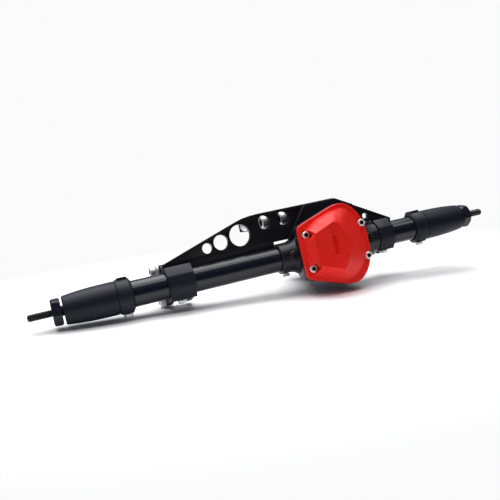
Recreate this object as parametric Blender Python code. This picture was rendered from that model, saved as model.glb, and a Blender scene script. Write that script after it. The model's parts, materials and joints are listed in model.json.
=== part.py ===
"""Solid rear axle of a tenth-scale rock crawler: tubes, gear housing, truss, link mounts and drive line.

The wheel axis is X and passes through the origin, which is half way between the two wheel ends. The red
housing cover faces -Y, the drive input points along +Y and the truss plate stands up along +Z.
Sizes are in millimetres and are scaled to metres as each mesh is made.
"""

from math import cos, hypot, pi, radians, sin

import bmesh
import bpy
from mathutils import Matrix

MM = 0.001
GAP = 0.3                 # clearance between neighbouring pieces

# Wheel ends
HEX_FLATS = 12.0          # across the flats of a wheel hex
HEX_INNER = 115.3         # inner and outer faces of a wheel hex, from the middle of the axle
HEX_OUTER = 119.8
HEX_TURN = radians(16.1)  # how far a flat of the hex is turned up from facing -Y
STUB_END = 131.2          # tip of the threaded stub
STUB_R = 1.95
SHAFT_R = 2.5             # drive shaft
PIN_R = 1.0               # cross pin that drives a hex
PIN_X = 116.7
PIN_HALF = 5.3

# Tubes and the carriers on their ends
TUBE_R = 6.7
TUBE_BORE = 4.9
TUBE_END = 89.0           # outer ends of the tubes
LEFT_TUBE_IN = 7.0        # ends inside the housing
RIGHT_TUBE_IN = 47.4
CARRIER_INNER = 81.0      # inner end of the collar
COLLAR_OUTER = 88.6       # groove between collar and barrel
CARRIER_OUTER = 114.4     # outer end of the barrel
COLLAR_R = 8.75
BARREL_R = 8.4
WHEEL_BEARING_R = 5.0
WHEEL_BEARING_W = 4.0

# Gear housing
HOUSING_X = 27.2          # middle of the housing along the axle
OUTLINE_Z = 0.4           # middle of its outline above the wheel axis
SOCKET_R = 8.2
SOCKET_LEFT = -2.3
SOCKET_RIGHT = 56.6
RIM_Y = -10.9             # face that the cover bolts to
RIM_WALL = 3.2
COVER_THICK = 2.2         # flange of the cover
COVER_DOME = 7.6          # how far the dome stands out from the flange
DRUM_R = 19.3             # round back of the housing
DRUM_WALL = 2.4
NOSE_R = 9.4
NOSE_END = 33.5
CARRIER_BEARING_R = 7.5
CARRIER_BEARING_W = 4.0

# Final drive
RING_TEETH = 38
PINION_TEETH = 13
MODULE = 0.8
PINION_X = 22.7           # the drive input crosses the wheel axis here
FACE_WIDTH = 4.4
RING_BODY = 3.2           # depth of the ring gear behind its teeth
INPUT_END = 44.0          # tip of the input shaft

# Link mounts on the tubes; the right one is shorter, because the gear housing leaves it less tube
LEFT_MOUNT = (-63.6, -50.0)
RIGHT_MOUNT = (56.9, 66.1)
LEFT_CHEEK = 3.0
RIGHT_CHEEK = 2.2
MOUNT_R = 8.5
LINK_Y = 12.0             # link and shock screws, behind the tube
LEFT_SHOCK_Z = 8.6
RIGHT_SHOCK_Z = 6.4
LOWER_LINK_Z = -7.8

# Truss plate over the tubes
TRUSS_HALF = 1.25         # half its thickness
TRUSS_TOP = 26.2
TRUSS_FOOT = 6.85         # lower edge, just above the tubes
TRUSS_HOLES = [(-38.9, 14.0, 2.7), (-31.1, 15.5, 3.95), (-20.2, 17.0, 5.7),
               (-5.6, 21.1, 3.55), (5.3, 21.1, 3.55), (54.1, 12.65, 1.7)]
UPPER_LINK_Y = 5.6        # cap screws of the upper links, behind the plate
UPPER_LINK_Z = 21.4

# Screws: (x, z) of those along Y, x of those that point up from below
COVER_SCREWS = [(HOUSING_X + 16.5 * u, OUTLINE_Z + 8.95 * v) for u in (-1, 1) for v in (1, -1)]
WING_SCREWS = [(22.0, 24.0), (36.0, 24.0)]
MOUNT_TRUSS_SCREWS = [(-55.3, 9.6), (61.5, 9.6)]
BRACKET_SCREWS = [(-13.5, 21.2), (17.4, 23.2)]
FRONT_GRUBS = [HOUSING_X - 22.4, HOUSING_X + 22.4]
SOCKET_SCREWS = [0.6, 53.8]
MOUNT_SCREWS = [-57.5, 61.4]
CARRIER_SCREW = 85.0
M2, M25, M3, M4 = 1.0, 1.25, 1.5, 2.0   # thread radii

BLACK_ANODISED = ("black_anodised", (0.018, 0.018, 0.024), 0.32, 0.9)
BLACK_MATTE = ("black_matte_anodised", (0.03, 0.03, 0.037), 0.48, 0.7)
RED_PAINT = ("red_cover_paint", (0.72, 0.012, 0.012), 0.35, 0.1)
BRIGHT_STEEL = ("bright_steel", (0.62, 0.62, 0.62), 0.25, 1.0)
DARK_STEEL = ("dark_steel", (0.05, 0.05, 0.055), 0.4, 0.9)


def clear_scene():
    for item in list(bpy.data.objects):
        bpy.data.objects.remove(item, do_unlink=True)


def material(finish):
    name, colour, roughness, metallic = finish
    found = bpy.data.materials.get(name)
    if found:
        return found
    made = bpy.data.materials.new(name)
    made.use_nodes = True
    shader = made.node_tree.nodes["Principled BSDF"]
    shader.inputs["Base Color"].default_value = (*colour, 1.0)
    shader.inputs["Roughness"].default_value = roughness
    shader.inputs["Metallic"].default_value = metallic
    return made


def finished(name, mesh_data, finish):
    """Turn a bmesh in millimetres into a named object in metres, with its faces pointing out."""
    bmesh.ops.remove_doubles(mesh_data, verts=mesh_data.verts, dist=0.0005)
    bmesh.ops.recalc_face_normals(mesh_data, faces=mesh_data.faces)
    bmesh.ops.scale(mesh_data, vec=(MM, MM, MM), verts=mesh_data.verts)
    mesh = bpy.data.meshes.new(name)
    mesh_data.to_mesh(mesh)
    mesh_data.free()
    mesh.shade_smooth()
    mesh.set_sharp_from_angle(angle=radians(35))
    made = bpy.data.objects.new(name, mesh)
    bpy.context.scene.collection.objects.link(made)
    if finish:
        mesh.materials.append(material(finish))
    else:
        made.hide_render = True
        made.display_type = "WIRE"
    return made


def turned(name, profile, finish=None, axis="X", centre=(0.0, 0.0, 0.0), segments=32):
    """Turn a closed profile of (along, radius) points about an axis through centre."""
    shape = bmesh.new()
    rings = []
    for along, radius in profile:
        if radius < 1e-6:
            rings.append([shape.verts.new((along, 0, 0))])
            continue
        angles = [2 * pi * (i + 0.5) / segments for i in range(segments)]
        rings.append([shape.verts.new((along, radius * cos(a), radius * sin(a))) for a in angles])
    for first, second in zip(rings, rings[1:] + rings[:1]):
        if len(first) == 1 and len(second) == 1:
            continue
        for i in range(segments):
            j = (i + 1) % segments
            corners = [first[i % len(first)], first[j % len(first)],
                       second[j % len(second)], second[i % len(second)]]
            shape.faces.new(list(dict.fromkeys(corners)))
    if axis == "Y":
        bmesh.ops.rotate(shape, verts=shape.verts, cent=(0, 0, 0), matrix=Matrix.Rotation(pi / 2, 3, "Z"))
    if axis == "Z":
        bmesh.ops.rotate(shape, verts=shape.verts, cent=(0, 0, 0), matrix=Matrix.Rotation(-pi / 2, 3, "Y"))
    bmesh.ops.translate(shape, verts=shape.verts, vec=centre)
    return finished(name, shape, finish)


def plate(name, outline, low, high, finish=None, axis="Y"):
    """Extrude a flat outline between two positions along X, Y or Z; the outline uses the other two axes."""
    def placed(u, v, w):
        return {"X": (w, u, v), "Y": (u, w, v), "Z": (u, v, w)}[axis]

    shape = bmesh.new()
    bottom = [shape.verts.new(placed(u, v, low)) for u, v in outline]
    top = [shape.verts.new(placed(u, v, high)) for u, v in outline]
    shape.faces.new(bottom)
    shape.faces.new(top[::-1])
    for i in range(len(outline)):
        j = (i + 1) % len(outline)
        shape.faces.new((bottom[i], bottom[j], top[j], top[i]))
    return finished(name, shape, finish)


def rod(name, start, end, radius, finish=None, axis="X", centre=(0.0, 0.0, 0.0), segments=24):
    return turned(name, [(start, 0), (start, radius), (end, radius), (end, 0)], finish, axis, centre, segments)


def block(name, low, high, finish=None):
    (x0, y0, z0), (x1, y1, z1) = low, high
    return plate(name, [(x0, y0), (x1, y0), (x1, y1), (x0, y1)], z0, z1, finish, axis="Z")


def combine(target, tools, operation):
    """Join or cut with all the tools in one exact Boolean; the tools stay as hidden guides."""
    group = bpy.data.collections.new(f"{target.name}_tools")
    for tool in tools:
        group.objects.link(tool)
    step = target.modifiers.new(operation.lower(), "BOOLEAN")
    step.operation = operation
    step.solver = "EXACT"
    step.operand_type = "COLLECTION"
    step.collection = group


def cut(target, *tools):
    combine(target, tools, "DIFFERENCE")


def add(target, *tools):
    combine(target, tools, "UNION")


def arc(centre, radius, start, end, steps):
    """Points on an arc, angles in degrees."""
    turns = [radians(start + (end - start) * i / steps) for i in range(steps + 1)]
    return [(centre[0] + radius * cos(t), centre[1] + radius * sin(t)) for t in turns]


def housing_outline(grow):
    """Outline of cover and housing face, flat on its left and wide and round on its right, grown outward."""
    upper = [(-20.1, 11.2), (-19.0, 13.4), (-16.6, 14.9), (-8.0, 17.7), (0.0, 20.4), (3.4, 21.3), (6.8, 21.5),
             (9.9, 20.7), (12.7, 18.8), (15.3, 15.7), (17.3, 12.0), (18.7, 7.0), (19.2, 0.0)]
    lower = [(u, -v) for u, v in reversed(upper[:-1])]
    wide, high = 1 + grow / 19.6, 1 + grow / 21.5
    return [(HOUSING_X + u * wide, OUTLINE_Z + v * high) for u, v in upper + lower]


def loft(name, sections, finish=None):
    """Skin between outlines of equal length at rising Y; each section is (y, outline)."""
    shape = bmesh.new()
    rings = [[shape.verts.new((u, y, v)) for u, v in outline] for y, outline in sections]
    for first, second in zip(rings, rings[1:]):
        for i in range(len(first)):
            j = (i + 1) % len(first)
            shape.faces.new((first[i], first[j], second[j], second[i]))
    shape.faces.new(rings[0][::-1])
    shape.faces.new(rings[-1])
    return finished(name, shape, finish)


def hex_socket(name, radius, start, end, axis, centre, turn=0.0):
    """Six-sided key socket cutter."""
    outline = [(radius * cos(turn + i * pi / 3), radius * sin(turn + i * pi / 3)) for i in range(6)]
    order = {"X": (centre[1], centre[2]), "Y": (centre[0], centre[2]), "Z": (centre[0], centre[1])}[axis]
    return plate(name, [(u + order[0], v + order[1]) for u, v in outline], start, end, axis=axis)


def screw(name, finish, axis, centre, head_at, toward, head_r, head_h, shank_r, length, segments=12):
    """Socket screw: the head's outer face is at head_at, the shank runs on in direction toward (1 or -1)."""
    seat = head_at + toward * head_h
    tip = seat + toward * length
    profile = [(head_at, 0), (head_at, head_r), (seat, head_r), (seat, shank_r), (tip, shank_r), (tip, 0)]
    made = turned(name, profile, finish, axis, centre, segments)
    depth = 0.55 * head_h
    low, high = sorted((head_at - toward * 0.5, head_at + toward * depth))
    cut(made, hex_socket(name + "_key", 0.5 * head_r, low, high, axis, centre))
    return made


def bearing(name, start, width, inner, outer, axis="X", centre=(0.0, 0.0, 0.0)):
    """Shielded ball bearing as one ring."""
    end = start + width
    outline = [(start, inner), (start, outer), (end, outer), (end, inner)]
    return turned(name, outline, BRIGHT_STEEL, axis, centre, 24)


def signed(sign, profile):
    """Mirror a left-to-right profile to the other side of the axle when sign is -1."""
    return [(sign * along, radius) for along, radius in profile]


def grub(name, axis, centre, start, end, radius):
    """Headless set screw with a key socket in its outer end."""
    made = rod(name, start, end, radius, BRIGHT_STEEL, axis, centre, 12)
    cut(made, hex_socket(name + "_key", 0.55 * radius, start - 1, start + 1.2, axis, centre))


def axle_tubes():
    for side, start, end in (("left", -TUBE_END, LEFT_TUBE_IN), ("right", RIGHT_TUBE_IN, TUBE_END)):
        index = 0 if side == "left" else 1
        profile = [(start, TUBE_BORE), (start, TUBE_R), (end, TUBE_R), (end, TUBE_BORE)]
        tube = turned(side + "_axle_tube", profile, BLACK_ANODISED)
        below = (CARRIER_SCREW * (2 * index - 1), MOUNT_SCREWS[index], SOCKET_SCREWS[index])
        holes = [rod(f"{side}_tube_hole_{x:.0f}", -8, -4, M25 + GAP, axis="Z", centre=(x, 0, 0), segments=12)
                 for x in below]
        front = (FRONT_GRUBS[index], 0, 0)
        holes.append(rod(side + "_tube_front_hole", -8, -4, M3 + GAP, axis="Y", centre=front, segments=12))
        cut(tube, *holes)


def wheel_carriers():
    """Barrel-shaped carriers that close the tube ends and hold the wheel bearings."""
    pocket = WHEEL_BEARING_R + GAP
    seat = TUBE_END + GAP
    inner_end = seat + WHEEL_BEARING_W + 2 * GAP
    outer_start = CARRIER_OUTER - WHEEL_BEARING_W - 2 * GAP
    barrel = [(COLLAR_OUTER + 0.35, BARREL_R), (101.0, BARREL_R), (106.5, 8.2), (111.0, 7.6),
              (CARRIER_OUTER, 6.8)]
    collar = [(CARRIER_INNER, COLLAR_R - 1.4), (CARRIER_INNER + 1.5, COLLAR_R), (COLLAR_OUTER, COLLAR_R),
              (COLLAR_OUTER, 8.0)]
    inside = [(CARRIER_OUTER, pocket), (outer_start, pocket), (outer_start, 4.0), (inner_end, 4.0),
              (inner_end, pocket), (seat, pocket), (seat, TUBE_R + GAP), (CARRIER_INNER, TUBE_R + GAP)]
    ear = [(87.4, 7.4), (87.2, 9.4), (82.9, 9.4), (CARRIER_INNER + 0.6, 7.9), (CARRIER_INNER + 0.6, 7.4)]
    foot = [(88.0, -7.4), (87.8, -8.9), (82.7, -8.9), (CARRIER_INNER + 0.6, -7.9), (CARRIER_INNER + 0.6, -7.4)]
    for side, sign in (("left", -1), ("right", 1)):
        carrier = turned(side + "_wheel_carrier", signed(sign, collar + barrel + inside), BLACK_MATTE)
        add(carrier, plate(side + "_carrier_ear", signed(sign, ear), -3.2, 3.2),
            plate(side + "_carrier_foot", signed(sign, foot), -3.2, 3.2))
        place = (sign * CARRIER_SCREW, 0, 0)
        cut(carrier, rod(side + "_carrier_hole", -12, -6, M25 + GAP, axis="Z", centre=place, segments=12))
        screw(side + "_carrier_screw", BRIGHT_STEEL, "Z", place, -10.8, 1, 2.35, 1.6, M25, 3.9)
        for part, near in (("inner", seat + GAP), ("outer", outer_start + GAP)):
            low = min(sign * near, sign * (near + WHEEL_BEARING_W))
            bearing(f"{side}_{part}_wheel_bearing", low, WHEEL_BEARING_W, SHAFT_R + GAP, WHEEL_BEARING_R)


def wheel_drive():
    """Drive shafts from the locked differential to the threaded stubs, with hexes and their cross pins."""
    corner_r = HEX_FLATS / 2 / cos(pi / 6)
    corners = [pi - HEX_TURN + pi / 6 + i * pi / 3 for i in range(6)]
    hexagon = [(corner_r * cos(a), corner_r * sin(a)) for a in corners]
    pin_turn = Matrix.Rotation(-HEX_TURN, 4, "X")
    pieces = []
    for side, sign, inner in (("left", -1, 25.0), ("right", 1, 31.0)):
        shoulder = sign * (HEX_OUTER - GAP)
        profile = [(inner, 0), (inner, SHAFT_R), (shoulder, SHAFT_R), (shoulder, STUB_R),
                   (sign * (STUB_END - 0.5), STUB_R), (sign * STUB_END, STUB_R - 0.45), (sign * STUB_END, 0)]
        shaft = turned(side + "_drive_shaft", profile, DARK_STEEL, segments=24)
        hub = plate(side + "_wheel_hex", hexagon, sign * HEX_INNER, sign * HEX_OUTER, BLACK_ANODISED, axis="X")
        pin_at = (sign * PIN_X, 0, 0)
        pin = rod(side + "_hex_pin", -PIN_HALF, PIN_HALF, PIN_R, BRIGHT_STEEL, "Y", pin_at, 16)
        hole = rod(side + "_pin_hole", -8, 8, PIN_R + GAP, axis="Y", centre=pin_at, segments=16)
        half = PIN_R + GAP
        reach = sorted((sign * (HEX_INNER - 1), sign * (PIN_X + half)))
        slot = block(side + "_hex_slot", (reach[0], -8, -half), (reach[1], 8, half))
        for piece in (pin, hole, slot):
            piece.data.transform(pin_turn)
        bore = rod(side + "_hex_bore", sign * 110, sign * 125, SHAFT_R + GAP, segments=24)
        cut(hub, bore, slot)
        cut(shaft, hole)
        pieces += [shaft, hub, pin]
    return pieces


def bevel_gear(name, teeth, partner_teeth, back, bore, phase, axis):
    """Straight bevel gear with its cone apex where the two axes cross; back is the depth behind its teeth."""
    radius = MODULE * teeth / 2
    reach = MODULE * partner_teeth / 2
    cone = hypot(radius, reach)
    across, along = reach / cone, -radius / cone
    shrink = 1 - FACE_WIDTH / cone
    rise, dip = 0.55 * MODULE, 0.95 * MODULE
    pitch = 2 * pi / teeth
    tooth = [(-0.21, -dip), (-0.11, rise), (0.11, rise), (0.21, -dip)]
    places = [(pitch * (index + phase + offset), height) for index in range(teeth) for offset, height in tooth]

    def toothed(scale):
        ring = []
        for turn, height in places:
            r = (radius + across * height) * scale
            ring.append(((reach + along * height) * scale, r * cos(turn), r * sin(turn)))
        return ring

    def plain(a, r):
        return [(a, r * cos(turn), r * sin(turn)) for turn, _ in places]

    rings = [plain(reach * shrink - along * dip, bore), toothed(shrink), toothed(1.0),
             plain(reach + back, radius - across * dip - 0.3), plain(reach + back, bore)]
    shape = bmesh.new()
    made = [[shape.verts.new(point) for point in ring] for ring in rings]
    for first, second in zip(made, made[1:] + made[:1]):
        for i in range(len(first)):
            j = (i + 1) % len(first)
            shape.faces.new((first[i], first[j], second[j], second[i]))
    if axis == "Y":
        bmesh.ops.rotate(shape, verts=shape.verts, cent=(0, 0, 0), matrix=Matrix.Rotation(pi / 2, 3, "Z"))
    bmesh.ops.translate(shape, verts=shape.verts, vec=(PINION_X, 0, 0))
    return finished(name, shape, DARK_STEEL)


def final_drive():
    """Ring gear and the locked carrier that joins both shafts, with the bearings they run in."""
    ring = bevel_gear("ring_gear", RING_TEETH, PINION_TEETH, RING_BODY, 6.6, 0.5, "X")
    ring_back = PINION_X + MODULE * PINION_TEETH / 2 + RING_BODY
    flange = ring_back + GAP
    left, right = HOUSING_X - 19.8, HOUSING_X + 19.8
    journal = CARRIER_BEARING_W + 2 * GAP
    profile = [(left, SHAFT_R + GAP), (left, 4.7), (left + journal, 4.7), (left + journal, 6.2), (flange, 6.2),
               (flange, 12.6), (flange + 3.0, 12.6), (flange + 3.0, 6.4), (right - journal, 6.4),
               (right - journal, 4.7), (right, 4.7), (right, SHAFT_R + GAP)]
    spool = turned("locked_carrier", profile, DARK_STEEL, segments=24)
    pieces = [ring, spool]
    guides = []
    for index in range(3):
        turn = pi / 2 + index * 2 * pi / 3
        place = (0, 9.4 * cos(turn), 9.4 * sin(turn))
        pieces.append(screw(f"ring_gear_screw_{index + 1}", BRIGHT_STEEL, "X", place, flange + 5.3, -1,
                            1.9, 2.0, M2, 5.2, 12))
        guides.append(rod(f"ring_screw_hole_{index}", ring_back - 2.6, flange + 9, M2 + GAP, centre=place,
                          segments=12))
    cut(spool, *guides)
    cut(ring, *guides)
    for side, start in (("left", left + GAP), ("right", right - GAP - CARRIER_BEARING_W)):
        bearing(side + "_carrier_bearing", start, CARRIER_BEARING_W, 4.7 + GAP, CARRIER_BEARING_R)
    return pieces


def input_drive():
    """Pinion on the input shaft, and the two bearings in the nose."""
    centre = (PINION_X, 0, 0)
    pinion = bevel_gear("pinion_gear", PINION_TEETH, RING_TEETH, 0.9, SHAFT_R + GAP, 0.5, "Y")
    inner_end = MODULE * RING_TEETH / 2 - FACE_WIDTH
    shaft = rod("input_shaft", inner_end, INPUT_END, SHAFT_R, DARK_STEEL, "Y", centre, 24)
    cut(shaft, block("input_flat", (PINION_X - 4, INPUT_END - 8, SHAFT_R - 0.5),
                     (PINION_X + 4, INPUT_END + 1, 5)))
    for name, start in (("inner_pinion_bearing", 17.4), ("outer_pinion_bearing", NOSE_END - GAP - 4.0)):
        bearing(name, start, 4.0, SHAFT_R + GAP, 5.5, "Y", centre)
    return [pinion, shaft]


def gear_housing():
    """Housing round the final drive, with tube sockets, input nose and a wing that carries the truss."""
    outlines = [(RIM_Y - 1, 0.2), (-7.2, 0.2), (-6.2, -0.9), (2.0, -1.3), (7.0, -3.2)]
    body = loft("gear_housing", [(y, housing_outline(grow)) for y, grow in outlines], BLACK_ANODISED)
    left, right = HOUSING_X - 15.4, HOUSING_X + 14.6
    drum = turned("housing_drum", [(left, 0), (left, 12.6), (left + 4, 15.6), (24.0, DRUM_R - 0.9),
                                   (28.5, DRUM_R), (right - 4, DRUM_R), (right, DRUM_R - 4), (right, 0)])
    sockets = turned("housing_sockets", [(SOCKET_LEFT, 0), (SOCKET_LEFT, SOCKET_R), (4.6, SOCKET_R),
                                         (left + 0.5, 12.2), (right - 0.5, 12.2), (49.8, SOCKET_R),
                                         (SOCKET_RIGHT, SOCKET_R), (SOCKET_RIGHT, 0)])
    centre = (PINION_X, 0, 0)
    nose = turned("housing_nose", [(6, 0), (6, 14.5), (17, 11.6), (20, NOSE_R), (NOSE_END - 0.6, NOSE_R),
                                   (NOSE_END, NOSE_R - 0.6), (NOSE_END, 0)], axis="Y", centre=centre, segments=24)
    wing = plate("housing_wing", [(5.0, 9.4), (16.3, 23.6), (18.2, 25.8), (37.0, 25.8), (46.4, 20.6),
                                  (50.0, 13.0), (50.0, 5.0), (5.0, 5.0)], -4.0, -TRUSS_HALF - GAP)
    bosses = [rod(f"housing_boss_{x:.0f}", -9.0, -4.0, 3.1, axis="Y", centre=(x, 0, 0), segments=16)
              for x in FRONT_GRUBS]
    add(body, drum, sockets, nose, wing, *bosses)

    front = block("housing_front_cut", (-20, -40, -40), (80, RIM_Y, 40))
    pocket = loft("housing_pocket", [(RIM_Y - 2, housing_outline(-RIM_WALL)),
                                     (4.0, housing_outline(-RIM_WALL - 1.2))])
    inner_r = DRUM_R - DRUM_WALL
    hollow = turned("housing_hollow", [(left + 3.0, 0), (left + 3.0, 10.4), (left + 4.5, 12.9), (24.5, 16.0),
                                       (28.5, inner_r), (right - 4.8, inner_r), (right - 2.6, 12.5),
                                       (right - 2.6, 0)], segments=24)
    bearing_bore = rod("housing_bearing_bore", HOUSING_X - 20.0, HOUSING_X + 20.0, CARRIER_BEARING_R + GAP)
    tube_bore = rod("housing_tube_bore", SOCKET_LEFT - 2, SOCKET_RIGHT + 2, TUBE_R + GAP)
    seat = 5.5 + GAP
    input_bore = turned("housing_input_bore", [(10, 0), (10, seat), (21.7, seat), (21.7, 4.2), (28.9, 4.2),
                                               (28.9, seat), (NOSE_END + 2, seat), (NOSE_END + 2, 0)], axis="Y",
                        centre=centre, segments=24)
    cut(body, front, pocket, hollow, bearing_bore, tube_bore, input_bore)
    add(body, *[rod(f"rim_boss_{x:.0f}_{z:.0f}", RIM_Y + 0.4, -5.6, 2.6, axis="Y", centre=(x, 0, z), segments=12)
                for x, z in COVER_SCREWS])
    holes = [rod(f"rim_hole_{x:.0f}_{z:.0f}", RIM_Y - 2, -5.0, M2 + GAP, axis="Y", centre=(x, 0, z), segments=12)
             for x, z in COVER_SCREWS]
    holes += [rod(f"wing_hole_{x:.0f}", -3.2, 0, M2 + GAP, axis="Y", centre=(x, 0, z), segments=12)
              for x, z in WING_SCREWS]
    holes += [rod(f"front_grub_hole_{x:.0f}", -12, -5, M3 + GAP, axis="Y", centre=(x, 0, 0), segments=12)
              for x in FRONT_GRUBS]
    holes += [rod(f"socket_hole_{x:.0f}", -12, -5, M25 + GAP, axis="Z", centre=(x, 0, 0), segments=12)
              for x in SOCKET_SCREWS]
    cut(body, *holes)


def socket_screws():
    """Screws that lock the tubes in the housing: set screws in front, small cap screws below."""
    for side, x, below in zip(("left", "right"), FRONT_GRUBS, SOCKET_SCREWS):
        grub(side + "_socket_grub", "Y", (x, 0, 0), -8.8, -5.3, M3)
        screw(side + "_socket_screw", BRIGHT_STEEL, "Z", (below, 0, 0), -9.8, 1, 1.9, 1.3, M25, 3.2)


def gear_cover():
    """Red cover: flat flange held by four screws, and a tapered dome over the ring gear."""
    back = RIM_Y - GAP
    face = back - COVER_THICK
    top = face - COVER_DOME
    middle = face - 0.55 * COVER_DOME
    cover = loft("gear_cover", [(face, housing_outline(0)), (back, housing_outline(0))], RED_PAINT)
    add(cover, loft("cover_dome", [(top, housing_outline(-9.4)), (middle, housing_outline(-5.8)),
                                   (face + 0.6, housing_outline(-3.8))]))
    cutters = [loft("cover_inside", [(top + 2.2, housing_outline(-10.4)),
                                     (middle + 1.4, housing_outline(-7.4)),
                                     (back + 0.5, housing_outline(-5.2))])]
    for index, (x, z) in enumerate(COVER_SCREWS):
        place = (x, 0, z)
        stepped = [(-30, 0), (-30, 2.25), (face + 0.5, 2.25), (face + 0.5, M2 + 0.2), (0, M2 + 0.2), (0, 0)]
        cutters.append(turned(f"cover_hole_{index}", stepped, axis="Y", centre=place, segments=16))
        screw(f"cover_screw_{index + 1}", BRIGHT_STEEL, "Y", place, face - 1.4, 1, 1.95, 1.6, M2, 5.4, 16)
    cut(cover, *cutters)


def link_mounts():
    """Clamped blocks on the tubes: a faceted front, a slot for the truss and a fork behind for the links."""
    gap_half = TRUSS_HALF + GAP
    front = [(-3.6, 9.0), (-8.1, 4.1), (-6.0, -2.0), (-4.6, -8.5), (5.0, -8.5), (5.4, 9.0)]
    pad = [(gap_half, 4.0), (gap_half, 11.6), (5.6, 11.6), (5.6, 7.0), (7.2, 6.0), (7.2, 4.0)]
    for index, side in enumerate(("left", "right")):
        start, end = (LEFT_MOUNT, RIGHT_MOUNT)[index]
        thick = (LEFT_CHEEK, RIGHT_CHEEK)[index]
        pad_start = (end - 7.0, start)[index]
        shock_z = (LEFT_SHOCK_Z, RIGHT_SHOCK_Z)[index]
        cheek = (arc((LINK_Y, shock_z - 0.4), 2.9, 90, 0, 5) + arc((LINK_Y, LOWER_LINK_Z), 2.9, 0, -90, 5)
                 + [(2.0, -8.3), (2.0, shock_z + 2.0)])
        body = rod(side + "_link_mount", start, end, MOUNT_R, BLACK_MATTE)
        add(body, plate(side + "_mount_front", front, start, end, axis="X"),
            plate(side + "_mount_outer_cheek", cheek, start, start + thick, axis="X"),
            plate(side + "_mount_inner_cheek", cheek, end - thick, end, axis="X"),
            plate(side + "_mount_pad", pad, pad_start, pad_start + 7.0, axis="X"))
        below = (MOUNT_SCREWS[index], 0, 0)
        truss_x, truss_z = MOUNT_TRUSS_SCREWS[index]
        cutters = [rod(side + "_mount_bore", start - 2, end + 2, TUBE_R + GAP),
                   block(side + "_mount_slot", (start - 2, -gap_half, 0), (end + 2, gap_half, 15)),
                   rod(side + "_mount_hole", -12, -5, M25 + GAP, axis="Z", centre=below, segments=12),
                   rod(side + "_truss_hole", 0, 12, M2 + GAP, axis="Y", centre=(truss_x, 0, truss_z),
                       segments=12)]
        screw(side + "_mount_screw", BRIGHT_STEEL, "Z", below, -10.4, 1, 2.35, 1.6, M25, 3.5)
        outward = 1 if index else -1
        face = end if index else start
        for part, z, head_h in (("shock", shock_z, 3.0), ("lower_link", LOWER_LINK_Z, 1.6)):
            place = (0, LINK_Y, z)
            cutters.append(rod(f"{side}_{part}_hole", start - 1, end + 1, M3 + GAP, centre=place, segments=12))
            near, far = face + outward * GAP, face + outward * 1.7
            turned(f"{side}_{part}_washer", [(near, 1.8), (near, 3.0), (far, 3.0), (far, 1.8)], BRIGHT_STEEL,
                   centre=place, segments=16)
            screw(f"{side}_{part}_screw", BRIGHT_STEEL, "X", place, face + outward * (2.0 + head_h), -outward,
                  2.75, head_h, M3, end - start + 1.8, 16)
        cut(body, *cutters)


def truss():
    """Plate that ties the two link mounts together over the housing, and its screws."""
    left = [(-63.9, 10.55), (-20.5, 24.45), (-17.0, 25.4), (-13.0, 25.95), (-8.0, TRUSS_TOP)]
    right = [(36.0, TRUSS_TOP), (37.6, 25.95), (39.0, 25.2), (69.4, 8.7), (69.4, TRUSS_FOOT)]
    arch = [(57.0, TRUSS_FOOT), (57.0, 9.5), (50.2, 9.5), (48.2, 12.0), (44.4, 18.6), (40.2, 21.8),
            (28.0, 22.0), (19.0, 18.2), (11.3, 15.1), (9.0, 13.6), (7.9, 11.4), (6.6, 9.5), (-2.7, 9.5),
            (-2.7, TRUSS_FOOT), (-63.9, TRUSS_FOOT)]
    panel = plate("truss_plate", left + right + arch, -TRUSS_HALF, TRUSS_HALF, BLACK_ANODISED)
    holes = [rod(f"lightening_hole_{x:.0f}", -3, 3, r, axis="Y", centre=(x, 0, z), segments=28)
             for x, z, r in TRUSS_HOLES]
    holes += [rod(f"truss_hole_{x:.0f}", -3, 3, M2 + GAP, axis="Y", centre=(x, 0, z), segments=12)
              for x, z in WING_SCREWS]
    holes += [rod(f"truss_blind_hole_{x:.0f}", -0.4, 3, M2 + GAP, axis="Y", centre=(x, 0, z), segments=12)
              for x, z in MOUNT_TRUSS_SCREWS + BRACKET_SCREWS]
    cut(panel, *holes)
    wing_seat = TRUSS_HALF + GAP
    for index, (x, z) in enumerate(WING_SCREWS):
        screw(f"wing_screw_{index + 1}", BRIGHT_STEEL, "Y", (x, 0, z), wing_seat + 1.8, -1, 1.9, 1.8,
              M2, 4.2, 12)
    for index, (x, z) in enumerate(MOUNT_TRUSS_SCREWS):
        screw(f"truss_screw_{index + 1}", BRIGHT_STEEL, "Y", (x, 0, z), 5.9 + 1.8, -1, 1.9, 1.8,
              M2, 5.8, 12)


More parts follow.
